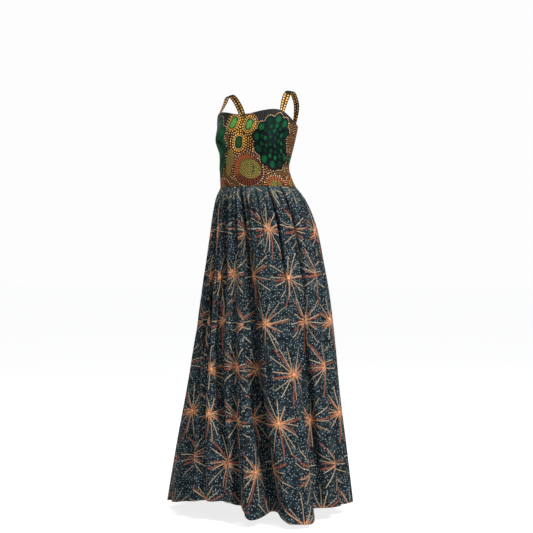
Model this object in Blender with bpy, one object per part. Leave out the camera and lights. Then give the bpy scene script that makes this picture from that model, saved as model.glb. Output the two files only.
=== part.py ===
"""A worn full-length wax-print dress: a fitted bodice on two shoulder straps over a gathered skirt.

Metres, +Z up. The front faces -Y and the wearer's left is +X. The origin is where the wearer's
shoulders hold the dress up: midway between the straps, at the height of their undersides.
Every panel is one wall of cloth with the shape it takes when the dress is worn.
"""

import math

import bmesh
import bpy
from mathutils import Matrix, Vector

# ---------------------------------------------------------------- driving dimensions
WALL = 0.0015  # cloth with its seam allowances and backing
SEAM_GAP = 0.0003  # between two pieces that are sewn together
WAIST_Z = -0.328  # where bodice and skirt are joined
HEM_Z = -1.400  # mean height of the hem
STRAP_WIDTH = 0.024
STRAP_WALL = 0.0018
STRAP_TUCK = 0.014  # how far a strap's end runs down behind the bodice's edge
STRAP_GAP = 0.0005  # between a strap's end and the bodice's inner side
STRAP_ANGLES = {  # where each strap's middle meets the bodice's edge, front and back
    "strap_left": (57.0, 138.0),
    "strap_right": (-48.0, -138.0),
}

# The middle of the left strap's underside over the shoulder, and the way its outer side faces.
STRAP_OVER = (
    dict(x=0.1170, y=-0.0180, z=-0.0300, out_x=0.42, out_y=-0.83, out_z=0.40),
    dict(x=0.1180, y=0.0000, z=-0.0080, out_x=0.30, out_y=-0.62, out_z=0.75),
    dict(x=0.1180, y=0.0220, z=0.0000, out_x=0.22, out_y=0.00, out_z=0.97),
    dict(x=0.1160, y=0.0480, z=-0.0110, out_x=0.22, out_y=0.62, out_z=0.78),
    dict(x=0.1100, y=0.0800, z=-0.0480, out_x=0.30, out_y=0.86, out_z=0.42),
)
# Horizontal sections of the bodice. back and left move the section's middle towards +Y and +X.
BODICE_SECTIONS = (
    dict(z=-0.328, half_width=0.136, front=0.112, rear=0.115, back=0.008, left=-0.002),
    dict(z=-0.300, half_width=0.130, front=0.103, rear=0.106, back=0.000, left=-0.006),
    dict(z=-0.260, half_width=0.126, front=0.098, rear=0.100, back=-0.006, left=-0.010),
    dict(z=-0.220, half_width=0.1285, front=0.103, rear=0.107, back=-0.002, left=-0.007),
    dict(z=-0.180, half_width=0.134, front=0.108, rear=0.116, back=0.002, left=-0.005),
    dict(z=-0.140, half_width=0.141, front=0.106, rear=0.121, back=0.007, left=-0.005),
    dict(z=-0.100, half_width=0.148, front=0.104, rear=0.124, back=0.010, left=-0.006),
    dict(z=-0.060, half_width=0.149, front=0.101, rear=0.122, back=0.012, left=-0.006),
)
# The skirt's sections, halfway between its crests and its troughs.
SKIRT_SECTIONS = (
    dict(z=-0.328, half_width=0.136, front=0.112, rear=0.115, back=0.008, left=-0.002),
    dict(z=-0.350, half_width=0.149, front=0.123, rear=0.126, back=0.015, left=-0.001),
    dict(z=-0.383, half_width=0.163, front=0.134, rear=0.139, back=0.024, left=0.001),
    dict(z=-0.430, half_width=0.178, front=0.146, rear=0.151, back=0.033, left=0.003),
    dict(z=-0.493, half_width=0.192, front=0.157, rear=0.162, back=0.040, left=0.005),
    dict(z=-0.600, half_width=0.210, front=0.169, rear=0.175, back=0.040, left=0.007),
    dict(z=-0.700, half_width=0.226, front=0.180, rear=0.186, back=0.038, left=0.007),
    dict(z=-0.866, half_width=0.248, front=0.202, rear=0.205, back=0.030, left=0.006),
    dict(z=-1.030, half_width=0.267, front=0.221, rear=0.224, back=0.018, left=0.005),
    dict(z=-1.197, half_width=0.291, front=0.243, rear=0.244, back=0.008, left=0.004),
    dict(z=-1.400, half_width=0.318, front=0.268, rear=0.266, back=0.000, left=0.002),
)
# The bodice's upper edge, from centre front to centre back: sweetheart, underarm, straight back.
UPPER_EDGE = (
    dict(angle=0, z=-0.0820),
    dict(angle=12, z=-0.0795),
    dict(angle=26, z=-0.0720),
    dict(angle=40, z=-0.0675),
    dict(angle=50, z=-0.0685),
    dict(angle=60, z=-0.0760),
    dict(angle=74, z=-0.0940),
    dict(angle=90, z=-0.1100),
    dict(angle=115, z=-0.1205),
    dict(angle=180, z=-0.1220),
)
# The two seams that shape the cups, from the waist to the upper edge.
PRINCESS_SEAM = (
    dict(z=-0.328, angle=38.0),
    dict(z=-0.260, angle=31.0),
    dict(z=-0.170, angle=27.0),
    dict(z=-0.060, angle=31.0),
)
SIDE_SEAM = 90.0
CENTRE_BACK = 180.0

CUP_ANGLE = 33.0
CUP_Z = -0.165
CUP_RISE = 0.028
CUP_SPREAD = 24.0  # degrees
CUP_ABOVE = 0.058  # how fast the cup dies away above its fullest point
CUP_BELOW = 0.046

# The skirt's large folds, crest and trough in turn, from centre back round by the right side,
# the front and the left side. Each line of cloth leaves the waist at one angle and reaches the
# hem at another. top, mid and hem push it out, or in where negative, and drop is how far its
# hem hangs below the mean height, all in millimetres.
FOLDS = (
    dict(waist=-180, at_hem=-180, top=0, mid=4, hem=8, drop=4),
    dict(waist=-168, at_hem=-166, top=-3, mid=-16, hem=-32, drop=-3),
    dict(waist=-156, at_hem=-153, top=2, mid=12, hem=24, drop=7),
    dict(waist=-144, at_hem=-140, top=-4, mid=-20, hem=-38, drop=-2),
    dict(waist=-132, at_hem=-126, top=2, mid=10, hem=26, drop=10),
    dict(waist=-120, at_hem=-112, top=-2, mid=-14, hem=-30, drop=8),
    dict(waist=-109, at_hem=-98, top=2, mid=10, hem=16, drop=19),
    dict(waist=-99, at_hem=-84, top=-3, mid=-10, hem=-14, drop=15),
    dict(waist=-88, at_hem=-69, top=2, mid=8, hem=10, drop=16),
    dict(waist=-78, at_hem=-55, top=-4, mid=-12, hem=-12, drop=2),
    dict(waist=-68, at_hem=-41, top=2, mid=8, hem=9, drop=-7),
    dict(waist=-58, at_hem=-28, top=-3, mid=-20, hem=-14, drop=-18),
    dict(waist=-52, at_hem=-20, top=3, mid=9, hem=4, drop=-21),
    dict(waist=-45, at_hem=-12, top=-5, mid=-32, hem=-14, drop=-26),
    dict(waist=-37, at_hem=-6, top=4, mid=9, hem=6, drop=-27),
    dict(waist=-28, at_hem=1, top=-9, mid=-26, hem=-14, drop=-29),
    dict(waist=-20, at_hem=6, top=3, mid=4, hem=-6, drop=-27),
    dict(waist=-13, at_hem=11, top=-4, mid=-9, hem=-46, drop=-21),
    dict(waist=-7, at_hem=21, top=4, mid=14, hem=40, drop=8),
    dict(waist=-1, at_hem=34, top=-9, mid=-36, hem=-38, drop=-6),
    dict(waist=16, at_hem=42, top=3, mid=10, hem=58, drop=18),
    dict(waist=36, at_hem=52, top=3, mid=12, hem=57, drop=21),
    dict(waist=52, at_hem=65, top=-3, mid=-12, hem=-42, drop=-8),
    dict(waist=68, at_hem=81, top=2, mid=10, hem=12, drop=-13),
    dict(waist=82, at_hem=94, top=-3, mid=-10, hem=-20, drop=-14),
    dict(waist=96, at_hem=107, top=2, mid=12, hem=18, drop=-8),
    dict(waist=110, at_hem=120, top=-3, mid=-14, hem=-30, drop=-6),
    dict(waist=124, at_hem=133, top=2, mid=10, hem=26, drop=4),
    dict(waist=138, at_hem=145, top=-4, mid=-18, hem=-34, drop=-3),
    dict(waist=152, at_hem=157, top=2, mid=10, hem=24, drop=6),
    dict(waist=166, at_hem=168, top=-3, mid=-16, hem=-30, drop=-3),
    dict(waist=180, at_hem=180, top=0, mid=4, hem=8, drop=4),
)
TOP_FOLD = 0.06  # the shares of the skirt's length at which top and mid apply
MID_FOLD = 0.45
TROUGH_SHARPNESS = 0.78  # under 1 draws the troughs narrow and leaves the crests broad

GATHERS = 32  # small gathers round the waist seam
GATHER_DEPTH = (  # half the height of a gather, by share of the skirt's length
    dict(down=0.00, depth=0.0007),
    dict(down=0.02, depth=0.0034),
    dict(down=0.07, depth=0.0044),
    dict(down=0.16, depth=0.0030),
    dict(down=0.30, depth=0.0008),
    dict(down=0.42, depth=0.0000),
    dict(down=1.00, depth=0.0000),
)
ZIP_FLAT = (3.0, 11.0)  # degrees from centre back between which the gathers grow in

# How finely the panels are divided.
SKIRT_ROWS = (0.0, 0.012, 0.035, 0.07, 0.11, 0.15, 0.22, 0.30, 0.42, 0.56, 0.70, 0.85, 1.0)
SKIRT_COLUMN = 1.9  # the widest column, in degrees at the waist or at the hem
BODICE_ROWS = 10
CENTRE_FRONT_COLUMNS = 16
SIDE_FRONT_COLUMNS = 12
BACK_COLUMNS = 18
STRAP_STEPS = 36

# Concealed zip at the centre back, its slider closed at the top.
ZIP_END_ROW = 5  # the tapes run down to this row of the skirt
TAPE_ANGLE = 5.0
TAPE_COLUMNS = 2
TAPE_WALL = 0.001
SLIDER_Z = -0.134
SLIDER_SIZE = Vector((0.0062, 0.0022, 0.0100))
EAR_SIZE = Vector((0.0010, 0.0038, 0.0034))
EAR_MIDDLE = 0.0023  # from the middle of the slider to the middle of an ear
PIN_RADIUS = 0.0005
PIN_HEIGHT = 0.0024  # of the pin's axis above the slider's plate
EYE_RADIUS = 0.0008
EYE_RIM = 0.0019
EYE_LENGTH = 0.0028
PULL_WALL = 0.0012
PULL_SECTIONS = (  # the tab's width, by distance below the pin
    dict(below=0.0013, width=0.0026),
    dict(below=0.0045, width=0.0028),
    dict(below=0.0120, width=0.0038),
    dict(below=0.0200, width=0.0050),
    dict(below=0.0230, width=0.0042),
    dict(below=0.0245, width=0.0022),
)
ROUND_STEPS = 16


# ---------------------------------------------------------------- curves through the tables
def read(table, key, column, at):
    """The smooth curve through a table's column of numbers or points, at a value of its key."""
    keys = [row[key] for row in table]
    values = [row[column] for row in table]
    if keys[0] > keys[-1]:
        keys.reverse()
        values.reverse()
    at = min(max(at, keys[0]), keys[-1])
    last = len(keys) - 2
    here = next((i for i in range(last + 1) if at <= keys[i + 1]), last)

    def slope(i):
        low, high = max(i - 1, 0), min(i + 1, last + 1)
        return (values[high] - values[low]) / (keys[high] - keys[low])

    span = keys[here + 1] - keys[here]
    t = (at - keys[here]) / span
    rise = values[here + 1] - values[here]
    start, end = slope(here) * span, slope(here + 1) * span
    bend = 3 * rise - 2 * start - end + (start + end - 2 * rise) * t
    return values[here] + start * t + bend * (t * t)


def ease(low, high, value):
    """0 below low, 1 above high, and a soft step between."""
    t = min(max((value - low) / (high - low), 0), 1)
    return t * t * (3 - 2 * t)


# ---------------------------------------------------------------- the two surfaces
def section_point(table, angle, z, push):
    """A point of a horizontal section: angle 0 is the centre front and 90 the left side."""
    turn = math.radians(angle)
    depth = read(table, "z", "front" if abs(angle) < 90 else "rear", z)
    width = read(table, "z", "half_width", z)
    return Vector((
        read(table, "z", "left", z) + (width + push) * math.sin(turn),
        read(table, "z", "back", z) - (depth + push) * math.cos(turn),
        z,
    ))


def bodice_point(angle, up):
    """The bodice's outer side: up is 0 at the waist seam and 1 at the upper edge."""
    bottom = WAIST_Z + SEAM_GAP / 2
    z = bottom + (read(UPPER_EDGE, "angle", "z", abs(angle)) - bottom) * up
    fade = CUP_ABOVE if z > CUP_Z else CUP_BELOW
    across = (abs(angle) - CUP_ANGLE) / CUP_SPREAD
    cup = CUP_RISE * math.exp(-across ** 2 - ((z - CUP_Z) / fade) ** 2)
    return section_point(BODICE_SECTIONS, angle, z, cup)


def fold_at(angle, down):
    """(angle, push, drop) of the line of cloth that leaves the waist at this angle."""
    angle = min(max(angle, -CENTRE_BACK), CENTRE_BACK)
    after = next(i for i in range(1, len(FOLDS)) if angle <= FOLDS[i]["waist"])
    near, far = FOLDS[after - 1], FOLDS[after]
    share = (angle - near["waist"]) / (far["waist"] - near["waist"])
    at_hem = near["at_hem"] + (far["at_hem"] - near["at_hem"]) * share

    def push(fold):
        if down < TOP_FOLD:
            return fold["top"] * ease(0, TOP_FOLD, down)
        if down < MID_FOLD:
            return fold["top"] + (fold["mid"] - fold["top"]) * ease(TOP_FOLD, MID_FOLD, down)
        grown = (down - MID_FOLD) / (1 - MID_FOLD)
        return fold["mid"] + (fold["hem"] - fold["mid"]) * grown

    low, high = push(near), push(far)
    climb = share if low < high else 1 - share
    climb = (1 - math.cos(math.pi * climb ** TROUGH_SHARPNESS)) / 2
    pushed = min(low, high) + abs(high - low) * climb
    drop = near["drop"] + (far["drop"] - near["drop"]) * ease(0, 1, share)
    return angle + (at_hem - angle) * down, pushed / 1000, drop / 1000


def gather_at(angle, down):
    """How far the small gathers under the waist seam push the cloth out or in."""
    turn = math.radians(angle)
    uneven = 0.72 + 0.28 * math.sin(3 * turn + 1.1) * math.cos(5 * turn)
    flat = ease(*ZIP_FLAT, CENTRE_BACK - abs(angle))
    wave = math.cos(GATHERS * turn + 0.6 * math.sin(4 * turn))
    return read(GATHER_DEPTH, "down", "depth", down) * uneven * flat * wave


def skirt_point(angle, down):
    """The skirt's outer side: down is 0 at the waist seam and 1 at the hem."""
    around, push, drop = fold_at(angle, down)
    z = WAIST_Z - SEAM_GAP / 2 + (HEM_Z - WAIST_Z) * down
    point = section_point(SKIRT_SECTIONS, around, z, push + gather_at(angle, down))
    point.z -= drop * down ** 3
    return point


def outward(surface, a, b):
    """The surface's outward direction at (a, b), kept horizontal."""
    step_a, step_b = 0.05, 0.002
    low_a, high_a = max(a - step_a, -CENTRE_BACK), min(a + step_a, CENTRE_BACK)
    low_b, high_b = max(b - step_b, 0), min(b + step_b, 1)
    along = surface(high_a, b) - surface(low_a, b)
    across = surface(a, high_b) - surface(a, low_b)
    normal = along.cross(across)
    normal.z = 0
    if normal.dot(surface(a, b)) < 0:
        normal.negate()
    return normal.normalized()


# ---------------------------------------------------------------- making the pieces
def new_material(name, colour, roughness, metallic=0.0):
    material = bpy.data.materials.new(name)
    material.use_nodes = True
    shader = material.node_tree.nodes["Principled BSDF"]
    shader.inputs["Base Color"].default_value = (*colour, 1)
    shader.inputs["Roughness"].default_value = roughness
    shader.inputs["Metallic"].default_value = metallic
    return material


def new_object(name, form, material):
    """A scene object from a bmesh, its faces turned outwards."""
    bmesh.ops.recalc_face_normals(form, faces=form.faces)
    mesh = bpy.data.meshes.new(name)
    form.to_mesh(mesh)
    form.free()
    mesh.shade_smooth()
    mesh.set_sharp_from_angle(angle=math.radians(50))
    mesh.materials.append(material)
    made = bpy.data.objects.new(name, mesh)
    bpy.context.scene.collection.objects.link(made)
    return made


def wall(name, outer, inner, material):
    """A closed wall of cloth between two equal grids of points, each a list of rows."""
    form = bmesh.new()
    faces_of = [[[form.verts.new(p) for p in row] for row in grid] for grid in (outer, inner)]
    out, within = faces_of
    rows, columns = len(outer), len(outer[0])
    for grid in faces_of:
        for j in range(rows - 1):
            for i in range(columns - 1):
                corners = (grid[j][i], grid[j][i + 1], grid[j + 1][i + 1], grid[j + 1][i])
                form.faces.new(corners)
    for j in (0, rows - 1):
        for i in range(columns - 1):
            form.faces.new((out[j][i], out[j][i + 1], within[j][i + 1], within[j][i]))
    for i in (0, columns - 1):
        for j in range(rows - 1):
            form.faces.new((out[j][i], out[j + 1][i], within[j + 1][i], within[j][i]))
    return new_object(name, form, material)


def panel(name, surface, edges, rows, material, lift=0.0, thickness=WALL):
    """A panel of one surface. edges(b) gives the angles of its columns at row b."""
    outer, inner = [], []
    for b in rows:
        angles = edges(b)
        points = [surface(a, b) for a in angles]
        ways = [outward(surface, a, b) for a in angles]
        outer.append([p - n * lift for p, n in zip(points, ways)])
        inner.append([p - n * (lift + thickness) for p, n in zip(points, ways)])
    return wall(name, outer, inner, material)


def spread(start, end, count):
    return [start + (end - start) * i / count for i in range(count + 1)]


def degrees_of_gap(surface, angle, b):
    """Half the seam gap at that place, in degrees."""
    step = -0.1 if angle > 0 else 0.1
    length = (surface(angle + step, b) - surface(angle, b)).length
    return SEAM_GAP / 2 * abs(step) / length


def between_seams(surface, from_seam, to_seam, count):
    """The columns of a panel that stops half a seam gap short of the seams at its two sides."""

    def edges(b):
        start, end = from_seam(b), to_seam(b)
        start += degrees_of_gap(surface, start, b)
        end -= degrees_of_gap(surface, end, b)
        return spread(start, end, count)

    return edges


# ---------------------------------------------------------------- the bodice
def princess(side):
    """The angle of the seam over one cup, by share of the bodice's height."""

    def angle(up):
        top = read(UPPER_EDGE, "angle", "z", CUP_ANGLE)
        return side * read(PRINCESS_SEAM, "z", "angle", WAIST_Z + (top - WAIST_Z) * up)

    return angle


def at(angle):
    return lambda b: angle


def make_bodice(material):
    rows = spread(0, 1, BODICE_ROWS)
    panels = (
        ("bodice_centre_front", princess(-1), princess(1), CENTRE_FRONT_COLUMNS),
        ("bodice_side_front_left", princess(1), at(SIDE_SEAM), SIDE_FRONT_COLUMNS),
        ("bodice_side_front_right", at(-SIDE_SEAM), princess(-1), SIDE_FRONT_COLUMNS),
        ("bodice_back_left", at(SIDE_SEAM), at(CENTRE_BACK), BACK_COLUMNS),
        ("bodice_back_right", at(-CENTRE_BACK), at(-SIDE_SEAM), BACK_COLUMNS),
    )
    for name, start, end, count in panels:
        columns = between_seams(bodice_point, start, end, count)
        panel(name, bodice_point, columns, rows, material)


# ---------------------------------------------------------------- the straps
def bodice_up(angle, z):
    """The share of the bodice's height at which it reaches z."""
    top = read(UPPER_EDGE, "angle", "z", abs(angle))
    return (z - WAIST_Z) / (top - WAIST_Z)


def strap_end(angle, outer_way):
    """The strap's stations behind the bodice at this angle, from its end up to the bodice's edge."""
    edge = read(UPPER_EDGE, "angle", "z", abs(angle))
    half_angle = math.degrees(STRAP_WIDTH / 2 / BODICE_SECTIONS[-1]["half_width"])
    stations = []
    for below in (STRAP_TUCK, STRAP_TUCK / 2, 0):
        station = dict(out=outward(bodice_point, angle, 1))
        for place, turn in (("neck_side", -1), ("middle", 0), ("arm_side", 1)):
            there = angle + turn * outer_way * half_angle
            up = bodice_up(there, edge - below)
            inwards = outward(bodice_point, there, min(up, 1)) * (WALL + STRAP_GAP + STRAP_WALL)
            station[place] = bodice_point(there, up) - inwards
        stations.append(station)
    return stations


def strap_stations(name, side):
    """Rows of three points on the strap's underside, from its front end over to its back end."""
    front_angle, back_angle = STRAP_ANGLES[name]
    over = []
    for row in STRAP_OVER:
        middle = Vector((side * row["x"], row["y"], row["z"]))
        out = Vector((side * row["out_x"], row["out_y"], row["out_z"])).normalized()
        across = Vector((side, 0, 0))
        across = (across - out * across.dot(out)).normalized() * STRAP_WIDTH / 2
        over.append(dict(middle=middle, out=out, neck_side=middle - across, arm_side=middle + across))
    stations = [
        *strap_end(front_angle, side), *over, *reversed(strap_end(back_angle, -side))
    ]
    along, before = 0, stations[0]["middle"]
    for station in stations:
        along += (station["middle"] - before).length
        before = station["middle"]
        station["along"] = along
    return stations


def make_strap(name, side, material):
    """A flat strap sewn behind the bodice's edge at both ends."""
    stations = strap_stations(name, side)
    outer, inner = [], []
    for along in spread(0, stations[-1]["along"], STRAP_STEPS):
        out = read(stations, "along", "out", along).normalized() * STRAP_WALL
        places = ("neck_side", "middle", "arm_side")
        inner.append([read(stations, "along", place, along) for place in places])
        outer.append([point + out for point in inner[-1]])
    return wall(name, outer, inner, material)


# ---------------------------------------------------------------- the skirt
def skirt_columns(from_angle, to_angle):
    """The columns between two seams: every crest and trough has one, and the rest divide them."""
    angles = []
    for near, far in zip(FOLDS, FOLDS[1:]):
        span = max(far[key] - near[key] for key in ("waist", "at_hem"))
        angles += spread(near["waist"], far["waist"], math.ceil(span / SKIRT_COLUMN))[:-1]
    margin = SKIRT_COLUMN / 3
    between = [a for a in angles if from_angle + margin < a < to_angle - margin]

    def edges(b):
        start = from_angle + degrees_of_gap(skirt_point, from_angle, b)
        end = to_angle - degrees_of_gap(skirt_point, to_angle, b)
        return [start, *between, end]

    return edges


def make_skirt(material):
    panels = (
        ("skirt_front", -SIDE_SEAM, SIDE_SEAM),
        ("skirt_back_left", SIDE_SEAM, CENTRE_BACK),
        ("skirt_back_right", -CENTRE_BACK, -SIDE_SEAM),
    )
    for name, start, end in panels:
        panel(name, skirt_point, skirt_columns(start, end), SKIRT_ROWS, material)


# ---------------------------------------------------------------- the zip
def make_tape(name, start, end, material):
    """One side of the zip's tape, sewn behind the back panels from the upper edge to the end."""
    outer, inner = [], []
    runs = (
        (bodice_point, reversed(spread(0, 1, BODICE_ROWS))),
        (skirt_point, SKIRT_ROWS[1:ZIP_END_ROW + 1]),
    )
    for surface, rows in runs:
        columns = between_seams(surface, at(start), at(end), TAPE_COLUMNS)
        for b in rows:
            points = [(surface(a, b), outward(surface, a, b)) for a in columns(b)]
            outer.append([p - n * (WALL + SEAM_GAP) for p, n in points])
            inner.append([p - n * (WALL + SEAM_GAP + TAPE_WALL) for p, n in points])
    wall(name, outer, inner, material)


def block(name, size, centre, material):
    """A plain box."""
    form = bmesh.new()
    bmesh.ops.create_cube(form, size=1, matrix=Matrix.Translation(centre) @ Matrix.Diagonal((*size, 1)))
    return new_object(name, form, material)


def rod(name, radius, length, centre, material):
    """A plain cylinder along X."""
    form = bmesh.new()
    lie_down = Matrix.Rotation(math.radians(90), 4, "Y")
    bmesh.ops.create_cone(
        form, cap_ends=True, segments=ROUND_STEPS, radius1=radius, radius2=radius, depth=length,
        matrix=Matrix.Translation(centre) @ lie_down,
    )
    return new_object(name, form, material)


def combine(target, operation, others):
    """Adds the others to the target, or cuts them out of it, and hides them."""
    for other in others:
        step = target.modifiers.new(other.name, "BOOLEAN")
        step.operation = operation
        step.solver = "EXACT"
        step.object = other
        other.hide_render = True
        other.display_type = "WIRE"
        other.parent = target


def place_on_back(z):
    """The frame of the bodice's centre back at this height: local Y is outwards, Z up the cloth."""
    up = bodice_up(CENTRE_BACK, z)
    foot = bodice_point(CENTRE_BACK, up)
    up_the_cloth = (bodice_point(CENTRE_BACK, up + 0.01) - foot).normalized()
    out = Vector((1, 0, 0)).cross(up_the_cloth) * -1
    turn = Matrix((Vector((1, 0, 0)), out, up_the_cloth)).transposed().to_4x4()
    return Matrix.Translation(foot) @ turn


def make_slider(metal):
    """The zip's slider: a plate on the seam with two ears and the pin that carries the pull."""
    frame = place_on_back(SLIDER_Z)
    plate_middle = Vector((0, SEAM_GAP + SLIDER_SIZE.y / 2, 0))
    plate_face = SEAM_GAP + SLIDER_SIZE.y
    sink = PIN_RADIUS  # the ears start inside the plate
    ear_middle = plate_face + EAR_SIZE.y / 2 - sink
    slider = block("zip_slider", SLIDER_SIZE, plate_middle, metal)
    added = [
        block("ear_left", EAR_SIZE, Vector((EAR_MIDDLE, ear_middle, 0)), metal),
        block("ear_right", EAR_SIZE, Vector((-EAR_MIDDLE, ear_middle, 0)), metal),
        rod("pin", PIN_RADIUS, EAR_MIDDLE * 2, Vector((0, plate_face + PIN_HEIGHT, 0)), metal),
    ]
    combine(slider, "UNION", added)
    slider.matrix_world = frame
    return frame @ Vector((0, plate_face + PIN_HEIGHT, 0))


def make_pull(pin, metal):
    """The pull tab, hanging straight down from the pin, with its origin on the pin's axis."""
    form = bmesh.new()
    rings = []
    for row in PULL_SECTIONS:
        x, y = row["width"] / 2, PULL_WALL / 2
        corners = ((x, y), (-x, y), (-x, -y), (x, -y))
        rings.append([form.verts.new((u, v, -row["below"])) for u, v in corners])
    for upper, lower in zip(rings, rings[1:]):
        for i in range(4):
            form.faces.new((upper[i], upper[i - 1], lower[i - 1], lower[i]))
    form.faces.new(rings[0])
    form.faces.new(rings[-1])
    pull = new_object("zip_pull", form, metal)
    combine(pull, "UNION", [rod("eye", EYE_RIM, EYE_LENGTH, Vector(), metal)])
    combine(pull, "DIFFERENCE", [rod("eye_hole", EYE_RADIUS, EYE_LENGTH * 2, Vector(), metal)])
    pull.location = pin


def main():
    for leftover in list(bpy.data.objects):
        bpy.data.objects.remove(leftover)
    bodice_cloth = new_material("bodice_print", (0.16, 0.10, 0.03), 0.75)
    skirt_cloth = new_material("skirt_print", (0.02, 0.06, 0.075), 0.75)
    tape_cloth = new_material("zip_tape", (0.02, 0.02, 0.02), 0.8)
    metal = new_material("zip_metal", (0.05, 0.05, 0.05), 0.35, metallic=1.0)
    make_bodice(bodice_cloth)
    make_strap("strap_left", 1, bodice_cloth)
    make_strap("strap_right", -1, bodice_cloth)
    make_skirt(skirt_cloth)
    make_tape("zip_tape_left", CENTRE_BACK - TAPE_ANGLE, CENTRE_BACK, tape_cloth)
    make_tape("zip_tape_right", -CENTRE_BACK, TAPE_ANGLE - CENTRE_BACK, tape_cloth)
    make_pull(make_slider(metal), metal)


main()
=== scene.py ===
import math

import bmesh
import bpy
import numpy as np
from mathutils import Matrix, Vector


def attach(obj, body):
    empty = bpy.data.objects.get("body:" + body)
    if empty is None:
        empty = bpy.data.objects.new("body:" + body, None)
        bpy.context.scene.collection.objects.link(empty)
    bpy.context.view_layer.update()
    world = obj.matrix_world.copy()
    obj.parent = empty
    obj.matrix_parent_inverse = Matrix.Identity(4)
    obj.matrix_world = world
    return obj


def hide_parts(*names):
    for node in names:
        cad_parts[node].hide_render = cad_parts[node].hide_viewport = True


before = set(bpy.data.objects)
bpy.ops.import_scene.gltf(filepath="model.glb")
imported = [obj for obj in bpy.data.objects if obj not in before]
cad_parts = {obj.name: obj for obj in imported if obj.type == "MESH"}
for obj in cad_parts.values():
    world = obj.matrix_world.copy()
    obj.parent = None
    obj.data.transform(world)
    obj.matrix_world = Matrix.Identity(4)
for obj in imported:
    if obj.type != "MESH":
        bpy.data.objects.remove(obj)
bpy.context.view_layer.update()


# ---------------------------------------------------------------- bodice
# Five panels of printed cotton, cut to shape and seamed: a centre front between two princess
# seams that round the cups, two side fronts and two backs that meet at the zip. Each panel is a
# thin shell of cloth on its solid's form. Angles run from 0 at the centre front to 90 at the
# left side seam and 180 at the centre back.
WAIST_Z = -0.328
SEAM_GAP = 0.0003
CLOTH = 0.0009


def table(columns, *rows):
    """Rows under named columns, as a dict for each row."""
    return tuple(dict(zip(columns.split(), row)) for row in rows)


BODICE_SECTIONS = table(
    "z half_width front rear back left",
    (-0.328, 0.136, 0.112, 0.115, 0.008, -0.002),
    (-0.300, 0.130, 0.103, 0.106, 0.000, -0.006),
    (-0.260, 0.126, 0.098, 0.100, -0.006, -0.010),
    (-0.220, 0.1285, 0.103, 0.107, -0.002, -0.007),
    (-0.180, 0.134, 0.108, 0.116, 0.002, -0.005),
    (-0.140, 0.141, 0.106, 0.121, 0.007, -0.005),
    (-0.100, 0.148, 0.104, 0.124, 0.010, -0.006),
    (-0.060, 0.149, 0.101, 0.122, 0.012, -0.006),
)
UPPER_EDGE = table(
    "angle z",
    (0, -0.0820),
    (12, -0.0795),
    (26, -0.0720),
    (40, -0.0675),
    (50, -0.0685),
    (60, -0.0760),
    (74, -0.0940),
    (90, -0.1100),
    (115, -0.1205),
    (180, -0.1220),
)
PRINCESS_SEAM = table(
    "z angle",
    (-0.328, 38.0),
    (-0.260, 31.0),
    (-0.170, 27.0),
    (-0.060, 31.0),
)
CUP = dict(angle=33.0, z=-0.165, rise=0.028, spread=24.0, above=0.058, below=0.046)


def read(rows, key, column, at):
    """The smooth curve through a table's column, at the given values of its key."""
    keys = np.array([row[key] for row in rows], float)
    values = np.array([row[column] for row in rows], float)
    order = np.argsort(keys)
    keys, values = keys[order], values[order]
    at = np.clip(at, keys[0], keys[-1])
    here = np.clip(np.searchsorted(keys, at) - 1, 0, len(keys) - 2)
    low = np.maximum(np.arange(len(keys)) - 1, 0)
    high = np.minimum(np.arange(len(keys)) + 1, len(keys) - 1)
    slope = (values[high] - values[low]) / (keys[high] - keys[low])
    span = keys[here + 1] - keys[here]
    t = (at - keys[here]) / span
    rise = values[here + 1] - values[here]
    start, end = slope[here] * span, slope[here + 1] * span
    bend = 3 * rise - 2 * start - end + (start + end - 2 * rise) * t
    return values[here] + start * t + bend * t * t


def section_points(sections, angle, z, push):
    """Points of horizontal sections, pushed out by a distance."""
    half_width, front, rear, back, left = (
        read(sections, "z", column, z) for column in ("half_width", "front", "rear", "back", "left")
    )
    turn = np.radians(angle)
    depth = np.where(np.abs(angle) < 90, front, rear)
    x = left + (half_width + push) * np.sin(turn)
    y = back - (depth + push) * np.cos(turn)
    return np.stack([x, y, np.broadcast_to(z, x.shape)], axis=-1)


def bodice_points(angle, up):
    """The bodice's outer side: up is 0 at the waist seam and 1 at the upper edge."""
    bottom = WAIST_Z + SEAM_GAP / 2
    z = bottom + (read(UPPER_EDGE, "angle", "z", np.abs(angle)) - bottom) * up
    fade = np.where(z > CUP["z"], CUP["above"], CUP["below"])
    across = (np.abs(angle) - CUP["angle"]) / CUP["spread"]
    cup = CUP["rise"] * np.exp(-(across**2) - ((z - CUP["z"]) / fade) ** 2)
    return section_points(BODICE_SECTIONS, angle, z, cup)


def lengths(points, axis):
    """Distances along the rows or columns of a grid, from its first point."""
    steps = np.linalg.norm(np.diff(points, axis=axis), axis=-1)
    return np.insert(np.cumsum(steps, axis=axis), 0, 0, axis=axis)


def outwards(points):
    """The way that a grid's outer side faces, at each point."""
    way = np.cross(np.gradient(points, axis=1), np.gradient(points, axis=0))
    way /= np.linalg.norm(way, axis=-1, keepdims=True) + 1e-12
    middle = points.reshape(-1, 3).mean(axis=0) * (0, 0, 1)
    return way * np.sign(((points - middle) * (1, 1, 0) * way).sum(axis=-1).mean())


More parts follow.
